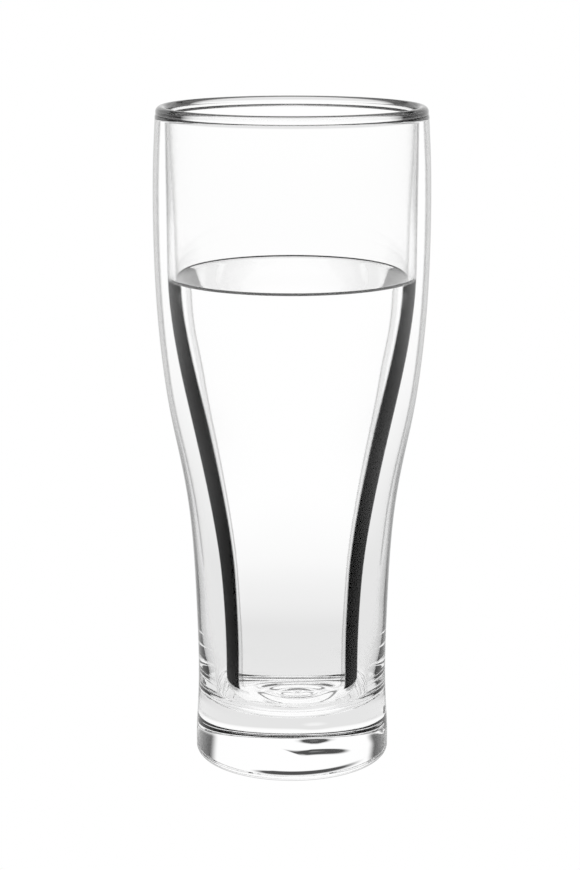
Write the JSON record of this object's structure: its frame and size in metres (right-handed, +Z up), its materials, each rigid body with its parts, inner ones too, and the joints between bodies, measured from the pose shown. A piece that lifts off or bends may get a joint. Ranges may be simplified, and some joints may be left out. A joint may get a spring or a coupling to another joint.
{
  "type": "pint glass",
  "caption": "Waisted pint glass with two walls: an outer shell on a thick solid base, and an inner vessel fused to it at a rounded rim.",
  "frame": {"origin": "middle of the underside, on the surface that the glass stands on", "axes": "+Z up along the glass's axis, out of its mouth; +X and +Y are interchangeable"},
  "size_m": [0.0826, 0.0826, 0.2],
  "materials": {
    "shell_glass": "clear, fire-polished",
    "vessel_glass": "clear, fire-polished",
    "seal_glass": "clear, slightly uneven"
  },
  "bodies": {
    "root": {"outer_shell": "shell_glass", "inner_vessel": "vessel_glass", "vent_seal": "seal_glass"}
  },
  "joints": []
}
